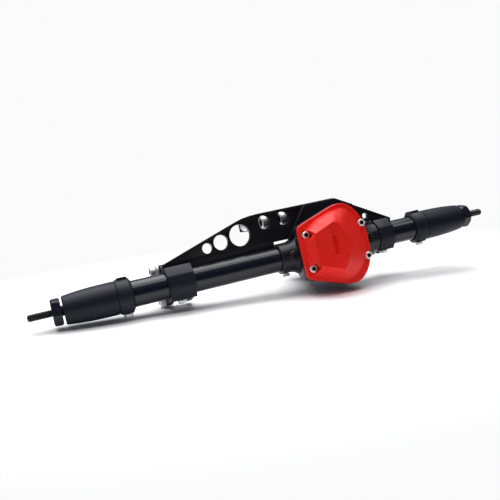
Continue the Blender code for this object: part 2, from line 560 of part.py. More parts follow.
def upper_link_bracket():
    """Bracket behind the truss that takes the cap screws of the two upper links."""
    near = TRUSS_HALF + GAP
    web_y = 9.2
    web = [(-16.0, 18.8), (-8.0, 18.0), (13.6, 18.0), (13.6, 20.6), (20.0, 20.6), (20.0, 25.4), (-12.0, 25.4),
           (-16.0, 24.0)]
    body = plate("upper_link_bracket", web, web_y, web_y + 2.0, BLACK_ANODISED)
    lugs = [block("bracket_lug_1", (-0.7, near, 18.0), (4.3, web_y + 1, 25.4)),
            block("bracket_lug_2", (10.15, near, 18.0), (13.6, web_y + 1, 25.4))]
    x, z = BRACKET_SCREWS[1]
    boss = rod("bracket_boss", near, web_y + 1, 2.2, axis="Y", centre=(x, 0, z), segments=20)
    add(body, *lugs, boss)
    line = (0, UPPER_LINK_Y, UPPER_LINK_Z)
    cutters = [rod("upper_link_hole", -2, 15, M4 + GAP, centre=line, segments=20)]
    for index, start in enumerate((-5.0, 5.85)):
        length = 4.8 if index == 0 else 3.4
        screw(f"upper_link_screw_{index + 1}", BRIGHT_STEEL, "X", line, start, 1, 3.5, 4.0, M4, length, 20)
    for index, (x, z) in enumerate(BRACKET_SCREWS):
        cutters.append(rod(f"bracket_hole_{index}", 0, 15, M2 + GAP, axis="Y", centre=(x, 0, z), segments=12))
        screw(f"bracket_screw_{index + 1}", BRIGHT_STEEL, "Y", (x, 0, z), web_y + 2.0 + GAP + 1.8, -1, 1.9, 1.8,
              M2, 10.8, 12)
    cut(body, *cutters)
    x, z = BRACKET_SCREWS[0]
    turned("bracket_spacer", [(near, M2 + GAP), (near, 2.4), (web_y - GAP, 2.4), (web_y - GAP, M2 + GAP)],
           BRIGHT_STEEL, axis="Y", centre=(x, 0, z), segments=16)


def hang_on(name, location, pieces):
    """Parent moving pieces to an empty on their turning axis."""
    pivot = bpy.data.objects.new(name, None)
    pivot.location = [MM * value for value in location]
    bpy.context.scene.collection.objects.link(pivot)
    for piece in pieces:
        piece.parent = pivot
        piece.matrix_parent_inverse = Matrix.Translation(pivot.location).inverted()


def build():
    clear_scene()
    gear_housing()
    socket_screws()
    gear_cover()
    axle_tubes()
    wheel_carriers()
    link_mounts()
    truss()
    upper_link_bracket()
    hang_on("wheel_axis", (0, 0, 0), final_drive() + wheel_drive())
    hang_on("input_axis", (PINION_X, 0, 0), input_drive())


build()
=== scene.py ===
import json
from math import atan2, cos, pi, radians, sin, tau

import bmesh
import bpy
from mathutils import Matrix, Vector

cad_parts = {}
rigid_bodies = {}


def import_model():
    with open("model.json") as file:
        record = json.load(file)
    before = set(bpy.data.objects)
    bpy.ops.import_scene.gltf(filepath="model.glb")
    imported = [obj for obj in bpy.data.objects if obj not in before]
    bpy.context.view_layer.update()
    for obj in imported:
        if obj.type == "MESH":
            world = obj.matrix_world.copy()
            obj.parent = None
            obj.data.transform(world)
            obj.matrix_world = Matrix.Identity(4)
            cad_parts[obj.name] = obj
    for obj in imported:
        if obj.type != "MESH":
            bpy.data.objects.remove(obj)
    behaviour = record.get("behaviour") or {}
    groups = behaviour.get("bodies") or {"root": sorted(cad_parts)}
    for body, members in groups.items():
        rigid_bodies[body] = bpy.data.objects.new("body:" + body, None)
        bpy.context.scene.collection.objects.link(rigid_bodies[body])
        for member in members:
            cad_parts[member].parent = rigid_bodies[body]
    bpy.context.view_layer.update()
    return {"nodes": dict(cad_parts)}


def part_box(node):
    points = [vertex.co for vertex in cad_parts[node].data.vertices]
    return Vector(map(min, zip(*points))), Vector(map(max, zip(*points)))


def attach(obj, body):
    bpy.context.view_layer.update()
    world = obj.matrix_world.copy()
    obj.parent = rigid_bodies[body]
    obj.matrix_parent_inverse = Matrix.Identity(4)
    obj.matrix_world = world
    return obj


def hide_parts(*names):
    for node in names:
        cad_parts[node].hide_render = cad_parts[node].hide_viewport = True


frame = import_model()

# ---- Axle tubes -----------------------------------------------------------------------------------------
# Two drawn aluminium tubes, turned all over, black anodised to a satin finish. Each slides into a socket of
# the gear housing and is held there by a set screw in front and a small cap screw below.
MM = 0.001
TUBE_R = 6.7
TUBE_BORE = 4.9
TUBE_EDGE = 0.25


def limits(node, axis=0):
    """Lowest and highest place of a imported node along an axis, in millimetres."""
    low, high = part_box(node)
    return low[axis] / MM, high[axis] / MM


def ring_stack(rings, segments=96, axis="X", centre=(0.0, 0.0, 0.0), closed=False):
    """Skin over rings about an axis; a ring is (along, radius), and radius may be a function of the turn."""
    shape = bmesh.new()
    made = []
    for along, radius in rings:
        if not callable(radius) and radius < 1e-6:
            made.append([shape.verts.new((along, 0, 0))])
            continue
        ring = []
        for i in range(segments):
            turn = tau * i / segments
            r = radius(turn) if callable(radius) else radius
            ring.append(shape.verts.new((along, r * cos(turn), r * sin(turn))))
        made.append(ring)
    following = made[1:] + made[:1] if closed else made[1:]
    for first, second in zip(made, following):
        if len(first) == 1 and len(second) == 1:
            continue
        for i in range(segments):
            j = (i + 1) % segments
            corners = [first[i % len(first)], first[j % len(first)],
                       second[j % len(second)], second[i % len(second)]]
            shape.faces.new(list(dict.fromkeys(corners)))
    if axis == "Y":
        bmesh.ops.rotate(shape, verts=shape.verts, cent=(0, 0, 0), matrix=Matrix.Rotation(pi / 2, 3, "Z"))
    if axis == "Z":
        bmesh.ops.rotate(shape, verts=shape.verts, cent=(0, 0, 0), matrix=Matrix.Rotation(-pi / 2, 3, "Y"))
    bmesh.ops.translate(shape, verts=shape.verts, vec=centre)
    return shape


def solid(name, *shapes, crease=32):
    """One object in metres out of one or more skins in millimetres."""
    mesh = bpy.data.meshes.new(name)
    whole = bmesh.new()
    for shape in shapes:
        bmesh.ops.recalc_face_normals(shape, faces=shape.faces)
        shape.to_mesh(mesh)
        shape.free()
        whole.from_mesh(mesh)
    bmesh.ops.scale(whole, vec=(MM, MM, MM), verts=whole.verts)
    whole.to_mesh(mesh)
    whole.free()
    mesh.shade_smooth()
    mesh.set_sharp_from_angle(angle=radians(crease))
    made = bpy.data.objects.new(name, mesh)
    bpy.context.scene.collection.objects.link(made)
    return made


def metal(name, dark, light, roughness, metallic, grain, depth, patch=90.0, specular=0.5, edge_highlight=0.0):
    """Metal finish: colour that drifts in patches, uneven gloss, and fine marks of the tool or the blasting.

    grain is how many marks there are to the metre along X, Y and Z; depth is how deep they are, in metres.
    edge_highlight is how far outward edges are painted lighter, a painted highlight along the edges.
    """
    made = bpy.data.materials.new(name)
    made.use_nodes = True
    nodes, links = made.node_tree.nodes, made.node_tree.links
    shader = nodes["Principled BSDF"]
    shader.inputs["Metallic"].default_value = metallic
    shader.inputs["Specular IOR Level"].default_value = specular
    place = nodes.new("ShaderNodeTexCoord")
    drift = nodes.new("ShaderNodeTexNoise")
    drift.inputs["Scale"].default_value = patch
    drift.inputs["Detail"].default_value = 5.0
    links.new(place.outputs["Object"], drift.inputs["Vector"])
    tint = nodes.new("ShaderNodeValToRGB")
    tint.color_ramp.elements[0].position = 0.3
    tint.color_ramp.elements[0].color = (*dark, 1)
    tint.color_ramp.elements[1].position = 0.7
    tint.color_ramp.elements[1].color = (*light, 1)
    links.new(drift.outputs["Fac"], tint.inputs["Fac"])
    stretch = nodes.new("ShaderNodeMapping")
    stretch.inputs["Scale"].default_value = grain
    links.new(place.outputs["Object"], stretch.inputs["Vector"])
    marks = nodes.new("ShaderNodeTexNoise")
    marks.inputs["Scale"].default_value = 1.0
    marks.inputs["Detail"].default_value = 3.0
    links.new(stretch.outputs["Vector"], marks.inputs["Vector"])
    gloss = nodes.new("ShaderNodeMapRange")
    gloss.inputs["To Min"].default_value = roughness - 0.06
    gloss.inputs["To Max"].default_value = roughness + 0.06
    links.new(marks.outputs["Fac"], gloss.inputs["Value"])
    links.new(gloss.outputs["Result"], shader.inputs["Roughness"])
    relief = nodes.new("ShaderNodeBump")
    relief.inputs["Strength"].default_value = 0.6
    relief.inputs["Distance"].default_value = depth
    links.new(marks.outputs["Fac"], relief.inputs["Height"])
    links.new(relief.outputs["Normal"], shader.inputs["Normal"])
    colour = tint.outputs["Color"]
    # Painted highlight: outward edges, found by pointiness, are mixed toward a light grey.
    if edge_highlight:
        edge = nodes.new("ShaderNodeNewGeometry")
        edge_highlight_ramp = nodes.new("ShaderNodeMapRange")
        edge_highlight_ramp.inputs["From Min"].default_value = 0.53
        edge_highlight_ramp.inputs["From Max"].default_value = 0.62
        edge_highlight_ramp.inputs["To Max"].default_value = edge_highlight
        links.new(edge.outputs["Pointiness"], edge_highlight_ramp.inputs["Value"])
        lighter = nodes.new("ShaderNodeMix")
        lighter.data_type = "RGBA"
        lighter.inputs["B"].default_value = (0.2, 0.2, 0.21, 1)
        links.new(edge_highlight_ramp.outputs["Result"], lighter.inputs["Factor"])
        links.new(colour, lighter.inputs["A"])
        colour = lighter.outputs["Result"]
    links.new(colour, shader.inputs["Base Color"])
    return made


def fit(piece, finish, slot, body, *nodes):
    """Give a piece its finish and its place in the part."""
    piece.data.materials.clear()
    piece.data.materials.append(finish)
    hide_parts(*nodes)
    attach(piece, body)
    return piece


satin_black = metal("satin_black_anodised", (0.004, 0.004, 0.011), (0.006, 0.006, 0.015), 0.24, 0.0,
                    (900.0, 40.0, 40.0), 0.0000004, specular=0.42, edge_highlight=0.06)
for side in ("left", "right"):
    start, end = limits(side + "_axle_tube")
    wall = [(start, TUBE_BORE + TUBE_EDGE), (start, TUBE_R - TUBE_EDGE), (start + TUBE_EDGE, TUBE_R)]
    wall += [(start + (end - start) * i / 24, TUBE_R) for i in range(1, 24)]
    wall += [(end - TUBE_EDGE, TUBE_R), (end, TUBE_R - TUBE_EDGE), (end, TUBE_BORE + TUBE_EDGE),
             (end - TUBE_EDGE, TUBE_BORE), (start + TUBE_EDGE, TUBE_BORE)]
    tube = solid(side + "_tube", ring_stack(wall, 96, closed=True))
    fit(tube, satin_black, "black_anodised", "axle_housing", side + "_axle_tube")

# ---- Gear housing ---------------------------------------------------------------------------------------
# Milled from one block of aluminium and black anodised: a flat rim for the cover, a drum round the ring gear,
# a socket for each tube, a nose for the drive input behind, and a wing in front of the truss plate.
HOUSING_X = 27.2
OUTLINE_Z = 0.4
INPUT_X = 22.7
SOCKET_R = 8.2
DRUM_R = 19.3
NOSE_R = 9.4
RIM_Y = -10.9
WING_BACK = -1.55
COVER_SCREW_X = 16.5
COVER_SCREW_Z = 8.95
GRUB_OFF = 22.4
SOCKET_SCREW_X = (0.6, 53.8)
BEARING_BORE_R = 7.8
INPUT_BEARING_BORE_R = 5.6


def rounded(points, times=2):
    """Cut the corners of a closed outline, so that its turns run smoothly."""
    for _ in range(times):
        after = points[1:] + points[:1]
        points = [(a[0] * w + b[0] * (1 - w), a[1] * w + b[1] * (1 - w))
                  for a, b in zip(points, after) for w in (0.75, 0.25)]
    return points


def housing_outline(grow=0.0):
    """Outline shared by the housing rim and the cover: straight on the left, wide and round on the right."""
    upper = [(-20.3, 11.0), (-19.6, 13.8), (-16.2, 15.3), (-8.0, 17.9), (0.0, 20.6), (3.4, 21.5), (7.0, 21.7),
             (10.2, 20.7), (13.0, 18.7), (15.5, 15.7), (17.5, 12.0), (18.8, 7.0), (19.3, 0.0)]
    lower = [(u, -v) for u, v in reversed(upper[:-1])]
    wide, high = 1 + grow / 19.6, 1 + grow / 21.5
    return rounded([(HOUSING_X + u * wide, OUTLINE_Z + v * high) for u, v in upper + lower])


def skin(sections):
    """Closed skin through outlines of equal length; a section is (y, outline)."""
    shape = bmesh.new()
    rings = [[shape.verts.new((u, y, v)) for u, v in outline] for y, outline in sections]
    for first, second in zip(rings, rings[1:]):
        for i in range(len(first)):
            j = (i + 1) % len(first)
            shape.faces.new((first[i], first[j], second[j], second[i]))
    shape.faces.new(rings[0][::-1])
    shape.faces.new(rings[-1])
    return shape


def bevelled_plate(outlines, low, high, edge, axis="Y", steps=2):
    """Plate with holes and rounded edges, made from a filled curve; the first outline is the outside."""
    line = bpy.data.curves.new("plate_line", "CURVE")
    line.dimensions = "2D"
    line.fill_mode = "BOTH"
    for outline in outlines:
        spline = line.splines.new("POLY")
        spline.points.add(len(outline) - 1)
        for point, (u, v) in zip(spline.points, outline):
            point.co = (u, v, 0, 1)
        spline.use_cyclic_u = True
    line.extrude = (high - low) / 2 - edge
    line.bevel_depth = edge
    line.bevel_resolution = steps
    line.offset = -edge
    holder = bpy.data.objects.new("plate_line", line)
    bpy.context.scene.collection.objects.link(holder)
    bpy.context.view_layer.update()
    shape = bmesh.new()
    shape.from_mesh(holder.evaluated_get(bpy.context.evaluated_depsgraph_get()).to_mesh())
    bpy.data.objects.remove(holder)
    bpy.data.curves.remove(line)
    bmesh.ops.remove_doubles(shape, verts=shape.verts, dist=0.002)
    bmesh.ops.dissolve_degenerate(shape, edges=shape.edges, dist=0.001)
    middle = (low + high) / 2
    for vert in shape.verts:
        u, v, w = vert.co
        vert.co = {"X": (w + middle, u, v), "Y": (u, w + middle, v), "Z": (u, v, w + middle)}[axis]
    return shape


def circle(centre, radius, points=40):
    return [(centre[0] + radius * cos(tau * i / points), centre[1] + radius * sin(tau * i / points))
            for i in range(points)]


def bore(start, end, radius, segments, axis="X", centre=(0.0, 0.0, 0.0)):
    """Straight round hole, as the shape to be cut out."""
    return ring_stack([(start, 0), (start, radius), (end, radius), (end, 0)], segments, axis, centre)


def machined(name, stock, added, removed):
    """Join shapes to the stock, then cut shapes out of it, and keep only the result."""
    body = solid(name, stock)
    for operation, shapes in (("UNION", added), ("DIFFERENCE", removed)):
        if not shapes:
            continue
        group = bpy.data.collections.new(name + "_tools")
        for index, shape in enumerate(shapes):
            group.objects.link(solid(f"{name}_tool_{index}", shape))
        step = body.modifiers.new(operation.lower(), "BOOLEAN")
        step.operation = operation
        step.solver = "EXACT"
        step.operand_type = "COLLECTION"
        step.collection = group
        bpy.context.view_layer.update()
        mesh = bpy.data.meshes.new_from_object(body.evaluated_get(bpy.context.evaluated_depsgraph_get()))
        body.modifiers.clear()
        body.data = mesh
        for piece in list(group.objects):
            bpy.data.objects.remove(piece)
        bpy.data.collections.remove(group)
    body.data.shade_smooth()
    body.data.set_sharp_from_angle(angle=radians(28))
    return body


housing_black = metal("housing_black_anodised", (0.004, 0.004, 0.008), (0.006, 0.006, 0.011), 0.34, 0.0,
                      (900.0, 900.0, 900.0), 0.00001, specular=0.3, edge_highlight=0.1)
left_end, right_end = limits("gear_housing")
nose_end = limits("gear_housing", 1)[1]
rim = skin([(RIM_Y, housing_outline(-0.1)), (RIM_Y + 0.25, housing_outline(0.2)), (-7.5, housing_outline(0.2)),
            (-7.2, housing_outline(0.0)), (-6.6, housing_outline(-0.8)), (-5.6, housing_outline(-1.0)),
            (2.0, housing_outline(-1.4)), (4.6, housing_outline(-2.2)), (6.6, housing_outline(-3.6)),
            (7.6, housing_outline(-5.6))])
drum_left, drum_right = HOUSING_X - 15.4, HOUSING_X + 14.6
drum = ring_stack([(drum_left, 0), (drum_left, 11.6), (drum_left + 0.6, 12.8), (drum_left + 4, 15.5),
                   (24.0, DRUM_R - 1.0), (26.5, DRUM_R - 0.35), (29.0, DRUM_R), (drum_right - 5, DRUM_R),
                   (drum_right - 3.6, DRUM_R - 0.3), (drum_right - 0.8, DRUM_R - 3.0),
                   (drum_right, DRUM_R - 4.4), (drum_right, 0)], 128)
sockets = ring_stack([(left_end, 0), (left_end, SOCKET_R - 0.35), (left_end + 0.35, SOCKET_R), (3.6, SOCKET_R),
                      (5.6, SOCKET_R + 0.5), (drum_left - 1.6, SOCKET_R + 3.0), (drum_left + 0.4, 12.2),
                      (drum_right - 0.6, 12.2), (drum_right + 1.8, 11.2), (49.0, SOCKET_R + 0.6),
                      (51.0, SOCKET_R), (right_end - 0.35, SOCKET_R), (right_end, SOCKET_R - 0.35),
                      (right_end, 0)], 128)
nose = ring_stack([(6, 0), (6, 14.5), (12, 13.4), (16, 12.0), (18.5, 10.4), (20.5, NOSE_R),
                   (nose_end - 0.7, NOSE_R), (nose_end - 0.2, NOSE_R - 0.25), (nose_end, NOSE_R - 0.7),
                   (nose_end, 0)], 96, "Y", (INPUT_X, 0, 0))
wing = bevelled_plate([[(5.0, 9.4), (16.3, 23.6), (18.2, 25.7), (36.8, 25.7), (46.4, 20.6), (50.0, 13.0),
                        (50.0, 5.0), (5.0, 5.0)]], -4.0, WING_BACK, 0.25)
grub_places = [(HOUSING_X - GRUB_OFF, 0, 0), (HOUSING_X + GRUB_OFF, 0, 0)]
boss = [(-9.0, 0), (-9.0, 2.7), (-8.7, 3.0), (-4.0, 3.2), (-4.0, 0)]
front_bosses = [ring_stack(boss, 48, "Y", place) for place in grub_places]
front_face = skin([(-40, housing_outline(30)), (RIM_Y, housing_outline(30))])
pocket = skin([(RIM_Y - 2, housing_outline(-3.2)), (4.0, housing_outline(-4.4))])
hollow = ring_stack([(drum_left + 3.0, 0), (drum_left + 3.0, 10.4), (drum_left + 4.5, 12.6), (24.5, 15.6),
                     (28.5, DRUM_R - 2.4), (drum_right - 5.0, DRUM_R - 2.4), (drum_right - 2.8, 12.3),
                     (drum_right - 2.8, 0)], 64)
bores = [bore(HOUSING_X - 20.0, HOUSING_X + 20.0, BEARING_BORE_R, 72),
         bore(left_end - 2, right_end + 2, TUBE_R + 0.1, 96),
         ring_stack([(10, 0), (10, INPUT_BEARING_BORE_R), (21.7, INPUT_BEARING_BORE_R), (21.7, 4.2),
                     (28.9, 4.2), (28.9, INPUT_BEARING_BORE_R), (nose_end + 2, INPUT_BEARING_BORE_R),
                     (nose_end + 2, 0)], 72, "Y", (INPUT_X, 0, 0))]
drilled = [bore(-12, -5, 1.7, 32, "Y", place) for place in grub_places]
drilled += [bore(-12, -5, 1.5, 24, "Z", (x, 0, 0)) for x in SOCKET_SCREW_X]
housing = machined("housing", rim, [drum, sockets, nose, wing, *front_bosses],
                   [front_face, pocket, hollow, *bores, *drilled])
fit(housing, housing_black, "black_anodised", "axle_housing", "gear_housing")

# ---- Final drive ----------------------------------------------------------------------------------------
# Hardened steel gears, black from heat treatment and oil, on a locked carrier that turns both shafts as one.
# They run hidden in the housing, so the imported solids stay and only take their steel.
gear_steel = metal("oiled_gear_steel", (0.05, 0.048, 0.045), (0.09, 0.086, 0.08), 0.34, 1.0,
                   (700.0, 700.0, 700.0), 0.00001)
for node in ("ring_gear", "locked_carrier", "ring_gear_screw_1", "ring_gear_screw_2", "ring_gear_screw_3",
             "pinion_gear"):
    frame["nodes"][node].material_slots[0].material = gear_steel

# ---- Ball bearings --------------------------------------------------------------------------------------
# Standard metal-shielded ball bearings: two ground races with a pressed shield set back between them. Two
# carry each wheel shaft, two the locked carrier and two the input shaft.
RACE_EDGE = 0.2
SHIELD_BACK = 0.3


def bearing_rings(start, end, inner, outer):
    """Profile of a shielded bearing, from the bore round the outside and back."""
    wall = 0.24 * (outer - inner)
    side = [(0, inner + RACE_EDGE), (0, inner + wall), (SHIELD_BACK, inner + wall),
            (SHIELD_BACK, inner + 1.25 * wall),
            (SHIELD_BACK * 0.8, outer - 1.3 * wall), (SHIELD_BACK, outer - wall), (0, outer - wall),
            (0, outer - RACE_EDGE), (RACE_EDGE, outer)]
    near = [(start + a, r) for a, r in side]
    far = [(end - a, r) for a, r in reversed(side)]
    return near + far + [(end - RACE_EDGE, inner), (start + RACE_EDGE, inner)]


race_steel = metal("ground_race_steel", (0.5, 0.5, 0.5), (0.66, 0.66, 0.65), 0.22, 1.0, (1500.0, 60.0, 60.0),
                   0.000004)
bearing_sizes = [(f"{side}_{place}_wheel_bearing", 0, 2.55, 5.0) for side in ("left", "right")
                 for place in ("inner", "outer")]
bearing_sizes += [(side + "_carrier_bearing", 0, 4.8, 7.5) for side in ("left", "right")]
bearing_sizes += [(place + "_pinion_bearing", 1, 2.55, 5.5) for place in ("inner", "outer")]
for node, along, inner, outer in bearing_sizes:
    start, end = limits(node, along)
    shape = ring_stack(bearing_rings(start, end, inner, outer), 64, "XY"[along],
                       (INPUT_X if along else 0, 0, 0), closed=True)
    fit(solid(node + "_races", shape), race_steel, "bright_steel", "axle_housing", node)

# ---- Input shaft ----------------------------------------------------------------------------------------
# Turned steel shaft, black oxide, with a flat milled on its tail for the set screw of the drive joint.
SHAFT_R = 2.5
FLAT_LENGTH = 8.0
FLAT_DEPTH = 0.5


def flatted(radius, turn_of_flat, depth):
    """Radius of a round shaft with one flat."""
    def radius_at(turn):
        off = cos(turn - turn_of_flat)
        return min(radius, (radius - depth) / off) if off > 0.3 else radius
    return radius_at


oxide_steel = metal("black_oxide_steel", (0.012, 0.012, 0.014), (0.022, 0.022, 0.025), 0.34, 0.35,
                    (1800.0, 1800.0, 1800.0), 0.000006, specular=0.5, edge_highlight=0.25)
start, end = limits("input_shaft", 1)
flat = flatted(SHAFT_R, pi / 2, FLAT_DEPTH)
tail = flatted(SHAFT_R - 0.4, pi / 2, 0.1)
shape = ring_stack([(start, 0), (start, SHAFT_R - 0.2), (start + 0.2, SHAFT_R),
                    (end - FLAT_LENGTH - 0.05, SHAFT_R), (end - FLAT_LENGTH, flat), (end - 0.4, flat),
                    (end, tail), (end, 0)], 96, "Y", (INPUT_X, 0, 0))
fit(solid("input_shaft_turned", shape), oxide_steel, "dark_steel", "input_drive", "input_shaft")

# ---- Gear cover -----------------------------------------------------------------------------------------
# The red cover over the ring gear, milled from plate and powder coated. A flat flange carries the four screws;
# the dome has a trapezoid top, a long facet falling away on the right, and an almond pocket beside the ridge.
FLANGE_BACK = -11.2
FLANGE_FACE = -13.4
DOME = 7.6                # from the flange to the trapezoid top
LIP = 3.0                 # steep wall round the foot of the dome
LIP_RUN = 0.9
COVER_EDGE = 0.45         # rounding of the flange
COUNTERBORE_R = 2.3
POLE = (-4.0, 0.0)        # the rings of the mesh spread from here, off the middle of the outline
FOOT = [(-17.6, 10.6), (-9.9, 15.6), (-0.7, 18.5), (6.3, 19.0), (9.2, 17.8), (11.8, 13.7), (14.3, 8.4),
        (15.4, 2.3), (15.3, -3.5), (14.4, -7.9), (11.8, -12.8), (8.1, -16.2), (3.5, -18.5), (-0.9, -18.3),
        (-8.8, -15.2), (-15.6, -12.0), (-18.5, -8.6), (-18.8, 6.2)]
TABLE = [(-15.2, 8.3), (-2.8, 12.8), (-0.9, 12.1), (1.3, 8.4), (2.8, 3.4), (3.1, -1.5), (2.4, -5.6),
         (0.2, -10.8), (-1.6, -12.9), (-15.3, -7.9)]


def reach(outline, turn):
    """How far an outline lies from the pole in a direction."""
    d = Vector((cos(turn), sin(turn)))
    best = 0.0
    for a, b in zip(outline, outline[1:] + outline[:1]):
        pa = Vector((a[0] - POLE[0], a[1] - POLE[1]))
        side = Vector(b) - Vector(a)
        cross = d.x * side.y - d.y * side.x
        if abs(cross) < 1e-9:
            continue
        far = (pa.x * side.y - pa.y * side.x) / cross
        share = (pa.x * d.y - pa.y * d.x) / cross
        if far > 0 and -1e-6 <= share <= 1 + 1e-6:
            best = max(best, far)
    return best


def ease(x, low, high):
    t = min(1.0, max(0.0, (x - low) / (high - low)))
    return t * t * (3 - 2 * t)


def pocket_depth(u, v):
    """Almond pocket and the short wedge above it, cut into the trapezoid."""
    almond = ((u + 4.1) / 1.7) ** 2 + ((v - 0.8) / 6.6) ** 2
    depth = 1.7 * (1 - ease(almond, 0.6, 1.05)) * (0.45 + 0.55 * ease(u, -5.8, -2.6))
    wedge = min(u + 5.6 - 0.3 * (v - 7.1), -3.6 - u + 0.02 * v, v - 6.6, 12.6 - v)
    return depth + 0.5 * ease(wedge, 0.0, 0.9)


def cover_shape():
    """Rings from the pole out over table, facets, lip and flange, then back along the inside."""
    outline = [(x - HOUSING_X, z - OUTLINE_Z) for x, z in housing_outline()]
    corners = [atan2(v - POLE[1], u - POLE[0]) % tau for u, v in FOOT + TABLE]
    turns = sorted(set(corners + [tau * i / 220 for i in range(220)]))
    turns = [t for i, t in enumerate(turns) if i == 0 or t - turns[i - 1] > 0.004]
    shape = bmesh.new()
    rings = []
    spans = [(reach(TABLE, t), reach(FOOT, t), reach(outline, t)) for t in turns]

    def ring(place):
        made = []
        for turn, span in zip(turns, spans):
            r, y = place(*span)
            u, v = POLE[0] + r * cos(turn), POLE[1] + r * sin(turn)
            sink = pocket_depth(u, v) if y < FLANGE_FACE - 0.6 * DOME and y < -17 else 0.0
            made.append(shape.verts.new((HOUSING_X + u, y + sink, OUTLINE_Z + v)))
        rings.append(made)

    top = FLANGE_FACE - DOME
    lip = FLANGE_FACE - LIP
    for i in range(1, 45):
        ring(lambda table, foot, edge, s=i / 44: (table * s - 0.12 * s, top))
    for i in range(1, 20):
        s = i / 20
        ring(lambda table, foot, edge, s=s: (table + (foot - LIP_RUN - table) * s, top + (lip - top) * s))
    for i in range(6):
        a = pi / 2 * i / 5
        ring(lambda table, foot, edge, a=a: (foot - LIP_RUN + 0.35 * sin(a), lip + 0.35 * (1 - cos(a))))
    ring(lambda table, foot, edge: (foot - 0.35, FLANGE_FACE - 0.5))
    ring(lambda table, foot, edge: (foot - 0.15, FLANGE_FACE - 0.15))
    ring(lambda table, foot, edge: (foot + 0.2, FLANGE_FACE))
    ring(lambda table, foot, edge: ((foot + edge) / 2, FLANGE_FACE))
    for i in range(6):
        a = pi / 2 * i / 5
        ring(lambda table, foot, edge, a=a: (edge - COVER_EDGE * (1 - sin(a)),
                                             FLANGE_FACE + COVER_EDGE * (1 - cos(a))))
    ring(lambda table, foot, edge: (edge, FLANGE_BACK - 0.2))
    ring(lambda table, foot, edge: (edge - 0.2, FLANGE_BACK))
    ring(lambda table, foot, edge: (foot - 2.4, FLANGE_BACK))
    ring(lambda table, foot, edge: (foot - 3.4, lip + 2.0))
    ring(lambda table, foot, edge: (table * 0.9, top + 2.2))
    first = shape.verts.new((HOUSING_X + POLE[0], top + pocket_depth(*POLE), OUTLINE_Z + POLE[1]))
    last = shape.verts.new((HOUSING_X + POLE[0], top + 2.2, OUTLINE_Z + POLE[1]))
    count = len(turns)
    for i in range(count):
        j = (i + 1) % count
        shape.faces.new((first, rings[0][i], rings[0][j]))
        shape.faces.new((last, rings[-1][j], rings[-1][i]))
        for a, b in zip(rings, rings[1:]):
            shape.faces.new((a[i], b[i], b[j], a[j]))
    return shape


red_coat = metal("red_powder_coat", (0.78, 0.012, 0.008), (0.88, 0.022, 0.014), 0.4, 0.0,
                 (1400.0, 1400.0, 1400.0), 0.00002, patch=70.0, specular=0.25)
seat = [(-30, 0), (-30, COUNTERBORE_R), (FLANGE_FACE + 0.5, COUNTERBORE_R), (FLANGE_FACE + 0.5, 1.3),
        (0, 1.3), (0, 0)]
seats = [ring_stack(seat, 48, "Y", (HOUSING_X + COVER_SCREW_X * u, 0, OUTLINE_Z + COVER_SCREW_Z * v))
         for u in (-1, 1) for v in (1, -1)]
cover = machined("cover", cover_shape(), [], seats)
fit(cover, red_coat, "red_cover_paint", "axle_housing", "gear_cover")

# ---- Cap screws -----------------------------------------------------------------------------------------
# Bright steel socket cap screws with knurled heads and rolled threads: four in the cover, two across each link
# mount, two for the upper links, and the smaller ones that hold truss, bracket and tubes.
KNURLS = 36
KNURL_DEPTH = 0.12
steel = metal("bright_screw_steel", (0.78, 0.78, 0.78), (0.92, 0.92, 0.91), 0.48, 0.55,
              (900.0, 900.0, 900.0), 0.000004)
# Near-black finish for the inside of the hex sockets: painted shade in the recess.
socket_painted_shade = metal("painted_shade_in_socket", (0.006, 0.006, 0.007), (0.012, 0.012, 0.013), 0.6, 0.0,
                     (900.0, 900.0, 900.0), 0.000004, specular=0.2)


def hexagon(across, turn_by=0.0):
    """Radius of a hexagon with that half width across its flats."""
    return lambda turn: across / cos((turn - turn_by + pi / 6) % (pi / 3) - pi / 6)


def knurled(radius, depth):
    return lambda turn: radius - depth * (0.5 + 0.5 * cos(KNURLS * turn))


def thread_rings(start, end, radius, pitch, toward, steps=6):
    """Rings of a rolled thread between two places along the axis."""
    rings = []
    count = max(2, int(abs(end - start) / pitch * steps))
    depth = 0.55 * pitch
    for i in range(count + 1):
        along = start + (end - start) * i / count

        def radius_at(turn, along=along):
            phase = (along / pitch + toward * turn / tau) % 1.0
            return radius - depth * (1 - abs(2 * phase - 1)) ** 0.8
        rings.append((along, radius_at))
    return rings


def screw_shape(axis, centre, face, toward, head_r, head_h, shank_r, tip, pitch, head="cap", segments=72):
    """Socket screw: face is the outer end of its head, toward is the way its shank points."""
    key = 0.48 * head_r
    deep = face + toward * 0.55 * head_h
    seat = face + toward * head_h
    rings = [(deep + toward * 0.25 * key, 0), (deep, hexagon(key)), (face + toward * 0.08, hexagon(key)),
             (face, key * 1.2)]
    if head == "cap":
        rings += [(face, 0.88 * head_r), (face + toward * 0.05 * head_r, 0.95 * head_r),
                  (face + toward * 0.12 * head_r, head_r),
                  (face + toward * 0.2 * head_r, knurled(head_r, KNURL_DEPTH)),
                  (seat - toward * 0.15, knurled(head_r, KNURL_DEPTH)), (seat - toward * 0.05, 0.96 * head_r),
                  (seat, 0.92 * head_r)]
    else:
        rings[-1] = (face, key * 1.15)
        rings += [(seat - toward * (head_h * cos(a)), head_r * (0.55 + 0.45 * sin(a))) for a in
                  [pi / 2 * i / 8 for i in range(9)]]
        rings.append((seat, head_r * 0.98))
    rings += [(seat, shank_r), (seat + toward * 0.4, shank_r)]
    rings += thread_rings(seat + toward * 0.5, tip - toward * 0.4, shank_r, pitch, toward)
    rings += [(tip, shank_r * 0.72), (tip, 0)]
    return ring_stack(rings, segments, axis, centre)


def paint_socket_shade(screw, along, centre, face, toward, radius, depth):
    """Paint the faces inside the hexagon socket near-black, as painted shade in the recess."""
    screw.data.materials.append(socket_painted_shade)
    for polygon in screw.data.polygons:
        place = polygon.center / MM - Vector(centre)
        into = (polygon.center[along] / MM - face) * toward
        place[along] = 0.0
        if place.length < radius and 0.02 < into < depth:
            polygon.material_index = 1


